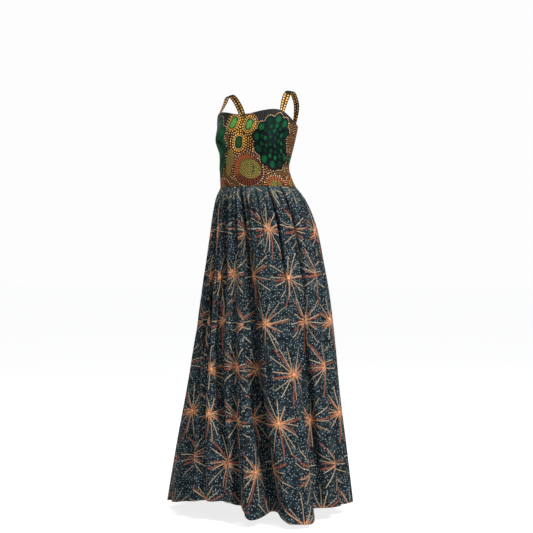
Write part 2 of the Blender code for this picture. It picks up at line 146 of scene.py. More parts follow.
def creased(points, flat, creases):
    """Soft troughs (depth below 0) and ridges laid on a grid, each along a line of the flat cut."""
    raised = np.zeros(points.shape[:2])
    for row in creases:
        start = np.array(row["start"])
        line = np.array(row["end"]) - start
        along = np.clip(((flat - start) * line).sum(axis=-1) / (line**2).sum(), 0, 1)
        bow = row["bow"] * np.sin(np.pi * along)
        off = flat - start - along[..., None] * line
        side = np.array([-line[1], line[0]]) / np.linalg.norm(line)
        away = np.linalg.norm(off - bow[..., None] * side, axis=-1)
        ends = np.sin(np.pi * np.clip(along * 0.94 + 0.03, 0, 1)) ** 0.7
        raised += row["depth"] * ends * np.exp(-((away / row["width"]) ** 2))
    return points + outwards(points) * raised[..., None]


def new_object(name, data):
    """Puts a mesh, a lamp or the camera into the scene."""
    made = bpy.data.objects.new(name, data)
    bpy.context.scene.collection.objects.link(made)
    return made


def cloth_shell(name, points, flat, thickness=CLOTH):
    """A thin closed wall of cloth under a grid of points, with its flat cut in metres as UVs."""
    rows, columns = points.shape[:2]
    count = rows * columns
    within = points - outwards(points) * thickness
    outer = np.arange(count).reshape(rows, columns)
    faces = []
    for a, is_inner in ((outer, False), (outer + count, True)):
        quads = np.stack([a[:-1, :-1], a[:-1, 1:], a[1:, 1:], a[1:, :-1]], axis=-1).reshape(-1, 4)
        faces.append(quads[:, ::-1] if is_inner else quads)
    rim = np.concatenate([outer[0], outer[1:, -1], outer[-1, -2::-1], outer[-2:0:-1, 0]])
    after = np.roll(rim, -1)
    faces.append(np.stack([after, rim, rim + count, after + count], axis=-1))
    faces = np.concatenate(faces)
    mesh = bpy.data.meshes.new(name)
    mesh.from_pydata(np.concatenate([points.reshape(-1, 3), within.reshape(-1, 3)]), [], faces)
    cut = mesh.uv_layers.new(name="cut")
    corners = np.tile(flat.reshape(-1, 2), (2, 1))[faces.ravel()]
    cut.data.foreach_set("uv", corners.ravel().astype(np.float32))
    mesh.shade_smooth()
    if (outwards(points)[0, 0] @ np.array(mesh.polygons[0].normal)) < 0:
        mesh.flip_normals()
    return new_object(name, mesh)


def flat_size(flat):
    """Width and length of the rectangle that a flat cut fits in."""
    width, length = flat.reshape(-1, 2).max(axis=0) - flat.reshape(-1, 2).min(axis=0)
    return float(width), float(length)


def dress_in(piece, name, finish):
    """Gives a shell of cloth its finish and puts it in its solid's place."""
    piece.data.materials.append(finish)
    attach(piece, "dress")
    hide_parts(name)


class Shade:
    """One socket of a material's nodes. Maths on it adds Math nodes."""

    tree = None

    def __init__(self, socket):
        self.socket = socket

    @classmethod
    def node(cls, kind, settings=None, sockets=None, output=0):
        """Adds a node: its settings first, then the values or links of its sockets."""
        made = cls.tree.nodes.new(kind)
        for name, value in (settings or {}).items():
            setattr(made, name, value)
        for name, value in (sockets or {}).items():
            if isinstance(value, Shade):
                cls.tree.links.new(value.socket, made.inputs[name])
            else:
                made.inputs[name].default_value = value
        return cls(made.outputs[output])

    def math(self, operation, *others):
        """The result of a Math node on this value and others."""
        sockets = dict(enumerate((self, *others)))
        return self.node("ShaderNodeMath", {"operation": operation}, sockets)

    def __add__(self, other):
        return self.math("ADD", other)

    __radd__ = __add__

    def __sub__(self, other):
        return self.math("SUBTRACT", other)

    def __rsub__(self, other):
        return self.node("ShaderNodeMath", {"operation": "SUBTRACT"}, {0: other, 1: self})

    def __mul__(self, other):
        return self.math("MULTIPLY", other)

    __rmul__ = __mul__

    def __truediv__(self, other):
        return self.math("DIVIDE", other)

    def __pow__(self, other):
        return self.math("POWER", other)

    def __abs__(self):
        return self.math("ABSOLUTE")

    def __mod__(self, other):
        return self.math("FLOORED_MODULO", other)

    def floor(self):
        return self.math("FLOOR")

    def part(self, index):
        """One part of a vector or a colour."""
        return self.node("ShaderNodeSeparateXYZ", {}, {0: self}, index)


def step(value, low, high):
    """0 below low, 1 above high, and a soft step between. low above high turns it round."""
    settings = {"interpolation_type": "SMOOTHSTEP"}
    return Shade.node("ShaderNodeMapRange", settings, {0: value, 1: low, 2: high})


def mixed(share, first, second):
    """A colour between two, by share of the second."""
    colours = [(*c, 1) if isinstance(c, tuple) else c for c in (first, second)]
    sockets = {0: share, 6: colours[0], 7: colours[1]}
    return Shade.node("ShaderNodeMix", {"data_type": "RGBA"}, sockets, 2)


def distance(x, y):
    """How far (x, y) lies from the origin."""
    return (x * x + y * y) ** 0.5


def place(x, y, z=0.0):
    """A vector of three values."""
    return Shade.node("ShaderNodeCombineXYZ", {}, {0: x, 1: y, 2: z})


def chance(x, y=0.0):
    """Three random numbers for whole numbers x and y, as a vector."""
    return Shade.node("ShaderNodeTexWhiteNoise", {"noise_dimensions": "2D"}, {0: place(x, y)}, 1)


def noise(x, y, size, detail=2.0):
    """Soft noise from 0 to 1 whose patches are about that size, in metres."""
    sockets = {"Vector": place(x, y), "Scale": 1 / size, "Detail": detail}
    return Shade.node("ShaderNodeTexNoise", {"noise_dimensions": "2D"}, sockets)


def spots(x, y, size, randomness=0.9):
    """(distance from the nearest spot's middle, its random numbers), in shares of the spacing."""
    sockets = {"Vector": place(x / size, y / size), "Scale": 1.0, "Randomness": randomness}
    settings = {"voronoi_dimensions": "2D"}
    made = Shade.node("ShaderNodeTexVoronoi", settings, sockets)
    return made, Shade(made.socket.node.outputs["Color"])


def new_finish(name, roughness):
    """Starts a material and returns (material, its shader). Later nodes go into this material."""
    material = bpy.data.materials.new(name)
    material.use_nodes = True
    Shade.tree = material.node_tree
    shader = material.node_tree.nodes["Principled BSDF"]
    shader.inputs["Roughness"].default_value = roughness
    shader.inputs["Specular IOR Level"].default_value = 0.05
    return material, shader


def feed(shader, socket, value):
    """Links a value to one of the shader's sockets."""
    Shade.tree.links.new(value.socket, shader.inputs[socket])


def cut_place():
    """(u, v) of the flat cut, in metres."""
    cut = Shade.node("ShaderNodeUVMap", {"uv_map": "cut"})
    return cut.part(0), cut.part(1)


THREAD = 0.0009  # along a thread, between its thicker places
SLUB = 0.012  # across the uneven places of the cloth


def weave(shader, u, v, depth):
    """The plain weave of the cotton, and the slight unevenness of its surface."""
    threads = noise(u, v * 6.0, THREAD, 1.0) + noise(u * 6.0, v, THREAD, 1.0)
    height = threads * 0.5 + noise(u, v, SLUB, 3.0) * 2.0
    bump = {"Height": height, "Strength": 0.35, "Distance": depth}
    feed(shader, "Normal", Shade.node("ShaderNodeBump", {}, bump))


def turned(u, v, motif):
    """(across, up) from the middle of a motif, in its own tilted frame."""
    across, up = u - motif["u"], v - motif["v"]
    c, s = math.cos(math.radians(motif["tilt"])), math.sin(math.radians(motif["tilt"]))
    return across * c + up * s, up * c - across * s


def oval(u, v, motif):
    """(share of the way out, turn from 0 to 1) about an oval: the share is 1 on its outline."""
    x, y = turned(u, v, motif)
    x, y = x / motif["across"], y / motif["up"]
    turn = y.math("ARCTAN2", x) / math.tau + 0.5
    return distance(x, y), turn


def around_oval(u, v, motif):
    """(distance outside an oval, turn round it), both even all the way round."""
    x, y = turned(u, v, motif)
    half = motif["up"] - motif["across"]
    beyond = (abs(y) - half).math("MAXIMUM", 0.0)
    radius = distance(x, beyond)
    swept = abs(y).math("MINIMUM", half) + radius * beyond.math("ARCTAN2", abs(x))
    quarter = swept / (radius * (math.pi / 2) + half) / 4
    turn = x.math("LESS_THAN", 0.0) * 0.5 + x.math("SIGN") * y.math("SIGN") * quarter
    return radius - motif["across"], turn


def ring_of(share, turn, count, at, radius, size):
    """Distance to the nearest of a ring of dots, in shares of a dot's radius, and its number."""
    place_in_ring = turn * count
    number = place_in_ring.floor()
    along = (place_in_ring - number - 0.5) * (math.tau / count * at * radius)
    return distance(along, (share - at) * radius) / size, number


def disc(away):
    """A soft-edged disc, from a distance in shares of its radius."""
    return step(away, 1.25, 0.75)


CHARCOAL = (0.021, 0.020, 0.019)
MAROON = (0.013, 0.0055, 0.004)
BROWN = (0.028, 0.012, 0.007)
AMBER = (0.80, 0.36, 0.030)
GOLD = (0.62, 0.34, 0.055)
DARK_GOLD = (0.27, 0.16, 0.040)
CREAM = (0.62, 0.44, 0.26)
DULL_CREAM = (0.52, 0.37, 0.21)
PEARL = (0.95, 0.66, 0.28)
RUST = (0.27, 0.090, 0.042)
DULL_RUST = (0.17, 0.048, 0.026)
ORANGE = (0.31, 0.085, 0.028)
TAN = (0.20, 0.115, 0.045)
OLIVE = (0.20, 0.165, 0.028)
PALE_OLIVE = (0.26, 0.20, 0.045)
DEEP_OLIVE = (0.040, 0.034, 0.011)
LEAF = (0.045, 0.17, 0.040)
PALE_LEAF = (0.12, 0.29, 0.065)
EMERALD = (0.005, 0.088, 0.028)
PINE = (0.002, 0.024, 0.012)
PALE_PINE = (0.024, 0.064, 0.018)
MIDNIGHT = (0.0013, 0.0044, 0.0042)
# painted light on the upper part of a medallion's midnight ground
PAINTED_LIGHT_MIDNIGHT = (0.0034, 0.0105, 0.0105)
DARK_TEAL = (0.018, 0.045, 0.036)

# The motifs are placed by their middles, from the centre front and up from the waist seam. An
# oval has half its size across and up, and its tilt in degrees.
JEWELS = table(
    "u v across up tilt heart pale",
    (-0.034, 0.222, 0.0125, 0.0215, -20, LEAF, PALE_LEAF),
    (0.028, 0.214, 0.0125, 0.0210, -22, LEAF, PALE_LEAF),
    (-0.007, 0.150, 0.0120, 0.0205, -3, PINE, PALE_PINE),
)
BEAD_ROW = 0.0088  # between the rows of beads round the jewels
SIDE_BEAD_ROW = 0.0070  # between the rows of smaller beads beside and below them


def dotted(colour, distance_out, turn, girth, pitch, size, tones, gleam=0.6, pale=0.12):
    """Rows of printed beads, one pitch apart, that run round a motif of that girth.

    The beads' radius is size. Gleam lights their middles, and pale is the share of cream ones.
    """
    row = (distance_out / pitch).floor()
    count = ((girth + row * (pitch * math.tau)) / pitch).math("ROUND").math("MAXIMUM", 4.0)
    place_in_row = turn * count + row * 0.37
    number = place_in_row.floor()
    along = (place_in_row - number - 0.5) * pitch
    off = distance_out - (row + 0.5) * pitch
    random = chance(number, row)
    bead = mixed(random.part(0), *tones)
    bead = mixed(step(random.part(1), 0.98 - pale, 1.02 - pale), bead, CREAM)
    grown = size * (0.80 + 0.30 * random.part(2))
    away = distance(along, off)
    bead = mixed(step(away, grown * 0.8, 0.0) * gleam, bead, PEARL)
    return mixed(step(away, grown * 1.12, grown * 0.84), colour, bead)


def beaded(colour, u, v):
    """The ground of the print: rows of beads round the jewels, and round the waist lower down."""
    away = turn = None
    for jewel in JEWELS:
        out, angle = around_oval(u, v, jewel)
        if away is None:
            away, turn = out, angle
        else:
            nearer = away.math("GREATER_THAN", out)
            turn = turn + (angle - turn) * nearer
            away = away.math("MINIMUM", out)
    warm = mixed(step(u, -0.014, -0.040), AMBER, RUST)
    out = (away - 0.0050).math("MAXIMUM", 0.0)
    far = step(away, 0.012, 0.024)
    tones = (mixed(far * 0.8, GOLD, RUST), mixed(far * 0.6, warm, DARK_GOLD))
    size = 0.0029 - far * 0.0004
    centre = dotted(colour, out, turn, 0.168, BEAD_ROW, size, tones, gleam=0.75)
    wave = noise(u, v, 0.06, 1.0) * 0.030
    along = u * 0.94 + v * 0.35 + wave
    rise = v * 0.94 - u * 0.35 + wave
    tones = (RUST, DARK_GOLD)
    side = dotted(colour, rise + 1, along / 6.283, 0.0, SIDE_BEAD_ROW, 0.0020, tones, gleam=0.20)
    near_jewels = step(away - u * 0.25, 0.0352, 0.0348)
    return mixed(near_jewels, side, centre), away


def jewel_oval(colour, u, v, jewel):
    """An oval of green with a dark rim inside a fine ring of gold dots."""
    share, _ = oval(u, v, jewel)
    out, turn = around_oval(u, v, jewel)
    from_rim = (out - 0.0006).math("MAXIMUM", 0.0)
    ring = dotted(MAROON, from_rim, turn, 0.124, 0.0046, 0.0017, (GOLD, AMBER))
    colour = mixed(step(out, 0.0054, 0.0050), colour, ring)
    colour = mixed(step(out, 0.0008, 0.0002), colour, MAROON)
    colour = mixed(step(share, 1.10, 1.04), colour, PINE)
    colour = mixed(step(share, 0.96, 0.84), colour, jewel["heart"])
    grain = noise(u, v, 0.0045, 2.0)
    colour = mixed(step(share, 0.92, 0.60) * step(grain, 0.36, 0.58), colour, jewel["pale"])
    hatch = abs(((u + v) / 0.0036) % 1 - 0.5) + abs(((u - v) / 0.0036) % 1 - 0.5)
    return mixed(step(hatch, 0.72, 0.90) * step(share, 0.95, 0.80) * 0.75, colour, PINE)


# A rosette's eye is a share of its radius and may lie aside of its middle, and a higher dark
# leaves fewer of its strokes bright.
ROSETTES = table(
    "u v radius eye aside dark",
    (0.024, 0.057, 0.060, 0.58, 0.0105, 0.0),
    (0.116, 0.002, 0.040, 0.50, 0.0, -0.5),
    (-0.090, -0.006, 0.042, 0.42, 0.0, 0.0),
    (0.186, 0.012, 0.030, 0.44, 0.0, 0.1),
)
STROKES_TO_RADIUS = 630  # strokes in a rosette's ring for each metre of its radius
BEADS_TO_RADIUS = 700


def rosette(colour, u, v, flower):
    """A round flower: a dotted olive eye in a wide ring of strokes that end in pale beads."""
    radius, eye, dark = flower["radius"], flower["eye"], flower["dark"]
    across, up = u - flower["u"], v - flower["v"]
    share, turn = oval(u, v, dict(flower, across=radius, up=radius, tilt=0.0))
    count = round(radius * STROKES_TO_RADIUS)
    strokes = abs((turn * count + share * 0.8 + noise(u, v, 0.010, 1.0) * 0.7) % 1 - 0.5) * 2
    lean = (up * 0.8 - across * 0.8) / radius + noise(u, v, 0.02, 2.0) * 0.5
    upper = step(lean, dark + 0.30, dark + 0.75)
    stroke = mixed(upper, DULL_RUST, ORANGE)
    thin = 0.38 + upper * 0.18
    body = mixed(step(strokes, thin + 0.16, thin - 0.16), MAROON, stroke)
    body = mixed(step(share, 0.86, 0.90), body, MAROON)
    count = round(radius * BEADS_TO_RADIUS)
    away, number = ring_of(share, turn, count, 0.95, radius, 0.0023)
    body = mixed(disc(away), body, mixed(chance(number).part(0), CREAM, RUST))
    colour = mixed(step(share, 1.03, 0.99), colour, body)
    aside = flower["aside"]
    middle = dict(u=flower["u"] + aside, v=flower["v"] + aside * 0.5, tilt=0.0)
    share, turn = oval(u, v, dict(middle, across=radius * eye * 1.15, up=radius * eye))
    colour = mixed(step(share, 1.02, 0.98), colour, DEEP_OLIVE)
    spiral = (share * radius * eye + turn * 0.0052).math("MAXIMUM", 0.0)
    tones = (OLIVE, PALE_OLIVE)
    seeds = dotted(colour, spiral, turn, 0.018, 0.0060, 0.0022, tones, gleam=0.2, pale=0.0)
    colour = mixed(step(share, 0.99, 0.95), colour, seeds)
    up = v - middle["v"]
    bow = u - middle["u"] - radius * 0.20 + up * up * 14.0
    crescent = step(abs(bow), 0.0030, 0.0012) * step(abs(up), radius * 0.34, radius * 0.26)
    return mixed(crescent, colour, DARK_TEAL)


# A medallion's spin turns its lobes by a share of one, and its lush is its share of plain green.
MEDALLIONS = table(
    "u v across up tilt spin lush",
    (0.1215, 0.158, 0.0745, 0.106, 4.0, 0.0, 0.0),
    (-0.140, 0.148, 0.090, 0.132, -4.0, 0.5, 0.55),
)
LOBES = 12
LOBE_DOTS = 7
MEDALLION_DISCS = table(  # rings of discs: how far out, as a share, and how far round each starts
    "count at size shift",
    (12, 0.765, 0.0128, 0.00),
    (13, 0.540, 0.0080, 0.03),
    (9, 0.360, 0.0074, 0.01),
    (4, 0.18, 0.0065, 0.05),
)


def medallion(colour, u, v, flower):
    """A large flower of soft green discs on midnight blue inside a scalloped row of cream dots."""
    share, turn = oval(u, v, flower)
    reach = (flower["across"] + flower["up"]) / 2
    up = v - flower["v"]
    turn = (turn + flower["spin"] / LOBES) % 1
    scallop = abs(((turn * LOBES) % 1 - 0.5) * math.pi).math("COSINE")
    outline = share - 0.82 - 0.12 * scallop
    colour = mixed(step(outline * reach, 0.0075, 0.0065), colour, MAROON)
    trail = abs(outline * reach - 0.0040)
    place_on = turn * (LOBES * LOBE_DOTS)
    number = place_on.floor()
    off = (place_on - number - 0.5) * (reach * math.tau * 0.9 / (LOBES * LOBE_DOTS))
    kept = step(noise(u, v, 0.030, 1.0) + up * 1.6, 0.42, 0.50)
    kept = kept.math("MAXIMUM", step(chance(number, 3.0).part(0), 0.60, 0.64))
    colour = mixed(disc(distance(trail, off) / 0.0017) * kept, colour, DULL_CREAM)
    # Painted light and shade: the midnight ground inside is mottled at random, and lighter towards
    # the medallion's top and darker below, as light falls from above.
    within = mixed(step(noise(u, v, 0.05, 2.0) + up * 2.0, 0.45, 0.70), MIDNIGHT, PAINTED_LIGHT_MIDNIGHT)
    within = mixed(flower["lush"] * step(noise(u, v, 0.028, 2.0), 0.30, 0.62), within, EMERALD)
    colour = mixed(step(outline * reach, 0.0012, 0.0002), colour, within)
    for ring in MEDALLION_DISCS:
        round_it = (turn + ring["shift"]) % 1
        away, number = ring_of(share, round_it, ring["count"], ring["at"], reach, ring["size"])
        lit = chance(number, float(ring["count"]))
        tone = mixed(step(lit.part(1), 0.0, 0.6), PINE, EMERALD)
        petal = step(away + noise(u, v, 0.006, 1.0) * 0.20, 1.20, 0.60)
        colour = mixed(petal * (0.45 + 0.55 * lit.part(0)), colour, tone)
    return colour


LONG_LEAF = dict(u=-0.047, v=0.083, across=0.016, up=0.047, tilt=-13)


def leaf(colour, u, v):
    """The long leaf of olive and rust stripes."""
    share, _ = oval(u, v, LONG_LEAF)
    stripes = abs((u / 0.0042 + noise(u, v, 0.03, 1.0) * 2) % 1 - 0.5) * 2
    tone = mixed(step(noise(u, v, 0.012, 2.0), 0.35, 0.65), TAN, OLIVE)
    body = mixed(step(stripes, 0.85, 0.40), DEEP_OLIVE, tone)
    return mixed(step(share, 1.03, 0.97), colour, body)


def bodice_print(colour, u, v):
    """The bodice's print, charted from the centre front and the waist seam."""
    colour, from_jewels = beaded(colour, u, v)
    colour = leaf(colour, u, v)
    for flower in ROSETTES:
        colour = rosette(colour, u, v, flower)
    neck = v + noise(u, v, 0.03, 1.0) * 0.010
    plain = step(neck, 0.226, 0.230) * step(from_jewels, 0.0175, 0.0195)
    colour = mixed(plain, colour, CHARCOAL)
    for jewel in JEWELS:
        colour = jewel_oval(colour, u, v, jewel)
    for flower in MEDALLIONS:
        colour = medallion(colour, u, v, flower)
    return colour


REPEAT = 0.47  # of the bodice's print, round the body
BODICE_RELIEF = 0.0006

printed_bodice, shader = new_finish("bodice_print", 0.62)
u, v = cut_place()
u_here = (u + REPEAT / 2) % REPEAT - REPEAT / 2
ground = mixed(noise(u, v, 0.02, 3.0), MAROON, BROWN)
feed(shader, "Base Color", bodice_print(ground, u_here, v))
weave(shader, u, v, BODICE_RELIEF)

BODICE_CREASES = table(
    "start end width depth bow",
    ((-0.060, 0.030), (0.020, 0.018), 0.008, -0.0014, 0.004),
    ((-0.020, 0.052), (0.075, 0.034), 0.009, -0.0012, 0.005),
    ((0.090, 0.060), (0.190, 0.028), 0.010, -0.0018, 0.004),
    ((0.110, 0.034), (0.200, 0.070), 0.009, -0.0014, -0.004),
    ((0.125, 0.095), (0.205, 0.120), 0.011, 0.0014, 0),
    ((0.150, 0.190), (0.215, 0.150), 0.010, -0.0016, 0.004),
    ((-0.130, 0.055), (-0.200, 0.030), 0.010, -0.0018, 0.004),
    ((-0.120, 0.120), (-0.195, 0.145), 0.011, -0.0013, 0),
    ((0.240, 0.040), (0.330, 0.028), 0.010, -0.0018, 0.005),
    ((0.250, 0.075), (0.350, 0.060), 0.010, -0.0015, -0.004),
    ((-0.240, 0.035), (-0.345, 0.050), 0.010, -0.0018, 0.004),
    ((-0.250, 0.090), (-0.340, 0.070), 0.010, -0.0013, 0.004),
)


def princess(side, up):
    """The angle of a princess seam: side is 1 on the left and -1 on the right."""
    top = read(UPPER_EDGE, "angle", "z", CUP["angle"])
    return side * read(PRINCESS_SEAM, "z", "angle", WAIST_Z + (top - WAIST_Z) * up)


def bodice_cut(angle, up):
    """The flat cut of the bodice: round from the centre front, and up from the waist seam."""
    fine = np.linspace(0, 1, 90)
    around = np.zeros_like(angle)
    for j in range(angle.shape[0]):
        turns = fine * np.abs(angle[j]).max()
        run = lengths(bodice_points(turns, np.full(fine.shape, up[j, 0])), 0)
        around[j] = np.sign(angle[j]) * np.interp(np.abs(angle[j]), turns, run)
    return np.stack([around, lengths(bodice_points(angle, up), 0)], axis=-1)


BODICE_RADIUS = 0.13  # a mean one, to turn angles into lengths
HAIRLINE = 0.00001  # between panels at a seam, each side
SEAM_DIP = 0.0012  # how deep a seam draws the cloth in
SEAM_REACH = 0.0020  # and how far from the seam

up = np.linspace(0, 1, 84)
side_seam = np.full_like(up, 90.0)
centre_back = np.full_like(up, 180.0)
BODICE_PANELS = (  # name, first and last angles, columns, and how far the print is shifted
    ("bodice_centre_front", princess(-1, up), princess(1, up), 78, 0.000),
    ("bodice_side_front_left", princess(1, up), side_seam, 60, 0.000),
    ("bodice_side_front_right", -side_seam, princess(-1, up), 60, 0.000),
    ("bodice_back_left", side_seam, centre_back, 84, -0.025),
    ("bodice_back_right", -centre_back, -side_seam, 84, -0.020),
)
half_gap = math.degrees(HAIRLINE / BODICE_RADIUS)
for name, start, end, columns, shift in BODICE_PANELS:
    share = np.linspace(0, 1, columns)[None, :]
    angle = (start + half_gap)[:, None] * (1 - share) + (end - half_gap)[:, None] * share
    rows = np.broadcast_to(up[:, None], angle.shape)
    flat = bodice_cut(angle, rows)
    points = creased(bodice_points(angle, rows), flat, BODICE_CREASES)
    turn_to_seam = np.radians(np.minimum(share, 1 - share) * (end - start)[:, None])
    nearest_seam = turn_to_seam * BODICE_RADIUS
    dip = SEAM_DIP * np.exp(-((nearest_seam / SEAM_REACH) ** 2))
    points = points - outwards(points) * dip[..., None]
    piece = cloth_shell(f"{name}_cloth", points, flat + (shift, 0))
    dress_in(piece, name, printed_bodice)
    flat_size(flat)


# ---------------------------------------------------------------- straps
# Two flat straps, each a strip of the bodice's cloth folded double and stitched along both edges,
# with its ends sewn behind the bodice's upper edge.
STRAP_WIDTH = 0.024
STRAP_WALL = 0.0018
STRAP_CLOTH = 0.0016
STRAP_GAP = 0.0005
STRAP_TUCK = 0.014  # how far its ends reach down behind the upper edge
STRAP_CROWN = 0.0004  # how much its middle stands above its edges
STRAP_WAVE = 0.012  # its slight waves lengthwise, which fade towards its ends
STRAP_WAVES = 90  # radians in a metre
PANEL_WALL = 0.0015
STRAP_ANGLES = {"strap_left": (57.0, 138.0), "strap_right": (-48.0, -138.0)}  # front and back
# Places of the underside over the left shoulder from front to back, and the way out at each.
STRAP_OVER = table(
    "x y z out_x out_y out_z",
    (0.1170, -0.0180, -0.0300, 0.42, -0.83, 0.40),
    (0.1180, 0.0000, -0.0080, 0.30, -0.62, 0.75),
    (0.1180, 0.0220, 0.0000, 0.22, 0.00, 0.97),
    (0.1160, 0.0480, -0.0110, 0.22, 0.62, 0.78),
    (0.1100, 0.0800, -0.0480, 0.30, 0.86, 0.42),
)


def bodice_frame(angle, z):
    """(point on the bodice's outer side, horizontal way out) at an angle and a height."""
    edge = read(UPPER_EDGE, "angle", "z", np.abs(angle))
    nearby = np.array([[angle - 0.05, angle + 0.05]] * 2)
    level = (z - WAIST_Z) / (edge - WAIST_Z)
    within = min(level, 1.0)
    points = bodice_points(nearby, np.array([[within] * 2, [within - 0.01] * 2]))
    way = np.cross(points[0, 1] - points[0, 0], points[1, 0] - points[0, 0])
    way[2] = 0
    way /= np.linalg.norm(way)
    point = bodice_points(np.array([angle]), np.array([level]))[0]
    return point, way * np.sign(way @ point)


def strap_stations(name, side):
    """(neck side, middle, arm side, way out) of the underside at each station over the shoulder."""
    half_angle = math.degrees(STRAP_WIDTH / 2 / BODICE_SECTIONS[-1]["half_width"])
    ends = []
    for angle, outer_way in zip(STRAP_ANGLES[name], (side, -side)):
        edge = float(read(UPPER_EDGE, "angle", "z", abs(angle)))
        rows = []
        for below in (STRAP_TUCK, STRAP_TUCK / 2, 0.0):
            row = []
            for turn in (-1, 0, 1):
                there = angle + turn * outer_way * half_angle
                point, out = bodice_frame(there, edge - below)
                row.append(point - out * (PANEL_WALL + STRAP_GAP + STRAP_WALL))
            rows.append(np.array([*row, bodice_frame(angle, edge)[1]]))
        ends.append(rows)
    over = []
    for row in STRAP_OVER:
        middle = np.array([side * row["x"], row["y"], row["z"]])
        out = np.array([side * row["out_x"], row["out_y"], row["out_z"]])
        out /= np.linalg.norm(out)
        across = np.array([side, 0, 0]) - out * out[0] * side
        across *= STRAP_WIDTH / 2 / np.linalg.norm(across)
        over.append(np.array([middle - across, middle, middle + across, out]))
    return np.array([*ends[0], *over, *reversed(ends[1])])


def smooth_through(stations, keys, at):
    """The smooth curve through stations of points, at given distances along it."""
    flat = stations.reshape(len(stations), -1)
    columns = []
    for column in flat.T:
        rows = table("key value", *zip(keys, column))
        columns.append(read(rows, "key", "value", at))
    return np.stack(columns, axis=-1).reshape(len(at), *stations.shape[1:])


STRAP_BEAD = dict(across=0.0112, along=0.0104, edge=0.0040, flat=0.0032)
STRAP_PLAIN = (0.084, 0.124)  # the stretch over the shoulder where the ground shows without beads
STRAP_SEAM = 0.0104  # from the middle to the stitching along each edge
STRAP_STITCH = 0.0030
THREAD_BROWN = (0.10, 0.06, 0.03)

printed_strap, shader = new_finish("strap_print", 0.80)
u, v = cut_place()
column = (u / STRAP_BEAD["across"]).floor()
row = v / STRAP_BEAD["along"] + column * 0.5
number = row.floor()
random = chance(number, column)
off_across = u - (column + 0.5) * STRAP_BEAD["across"]
off_along = (row - number - 0.5) * STRAP_BEAD["along"]
ground = mixed(noise(u, v, 0.02, 3.0), MAROON, BROWN)
bead = mixed(random.part(0), GOLD, AMBER)
bead = mixed(step(random.part(1), 0.78, 0.82), bead, CREAM)
off_bead = distance(off_across, off_along) / (0.85 + 0.25 * random.part(2))
bead = mixed(step(off_bead, 0.0030, 0.0) * 0.8, bead, PEARL)
beads = mixed(step(off_bead, STRAP_BEAD["edge"], STRAP_BEAD["flat"]), ground, bead)
first, last = STRAP_PLAIN
bound = mixed(step(v, first, first + 0.002) * step(v, last, last - 0.002), beads, CHARCOAL)
stitch_row = step(abs(abs(u) - STRAP_SEAM), 0.0005, 0.0003)
stitches = step(abs((v / STRAP_STITCH) % 1 - 0.5), 0.36, 0.30)
feed(shader, "Base Color", mixed(stitch_row * stitches, bound, THREAD_BROWN))
weave(shader, u, v, BODICE_RELIEF)

for name, side in (("strap_left", 1), ("strap_right", -1)):
    stations = strap_stations(name, side)
    keys = lengths(stations[:, 1], 0)
    along = np.linspace(0, keys[-1], 150)
    rows = smooth_through(stations, keys, along)
    out = rows[:, 3] / np.linalg.norm(rows[:, 3], axis=1, keepdims=True)
    share = np.linspace(-1, 1, 15)
    middle, half = rows[:, 1], (rows[:, 2] - rows[:, 0]) / 2
    crown = STRAP_CROWN * (1 - share**4)[None, :, None]
    wave = STRAP_WAVE * np.sin(along * STRAP_WAVES) * (keys[-1] - along) * along
    points = middle[:, None] + half[:, None] * share[None, :, None]
    points = points + out[:, None] * (STRAP_CLOTH + crown + wave[:, None, None])
    flat = np.stack(np.broadcast_arrays(share * STRAP_WIDTH / 2, along[:, None]), axis=-1)
    piece = cloth_shell(f"{name}_cloth", points, flat, STRAP_CLOTH)
    dress_in(piece, name, printed_strap)
    flat = (STRAP_WIDTH, float(along[-1]))


# ---------------------------------------------------------------- skirt
# Three panels of a second print, joined at the sides and the centre back: a straight length of
# cloth gathered into the waist seam, so that its folds start there and open out towards the hem.
HEM_Z = -1.400
SKIRT_SECTIONS = table(
    "z half_width front rear back left",
    (-0.328, 0.136, 0.112, 0.115, 0.008, -0.002),
    (-0.350, 0.149, 0.123, 0.126, 0.015, -0.001),
    (-0.383, 0.163, 0.134, 0.139, 0.024, 0.001),
    (-0.430, 0.178, 0.146, 0.151, 0.033, 0.003),
    (-0.493, 0.192, 0.157, 0.162, 0.040, 0.005),
    (-0.600, 0.210, 0.169, 0.175, 0.040, 0.007),
    (-0.700, 0.226, 0.180, 0.186, 0.038, 0.007),
    (-0.866, 0.248, 0.202, 0.205, 0.030, 0.006),
    (-1.030, 0.267, 0.221, 0.224, 0.018, 0.005),
    (-1.197, 0.291, 0.243, 0.244, 0.008, 0.004),
    (-1.400, 0.318, 0.268, 0.266, 0.000, 0.002),
)
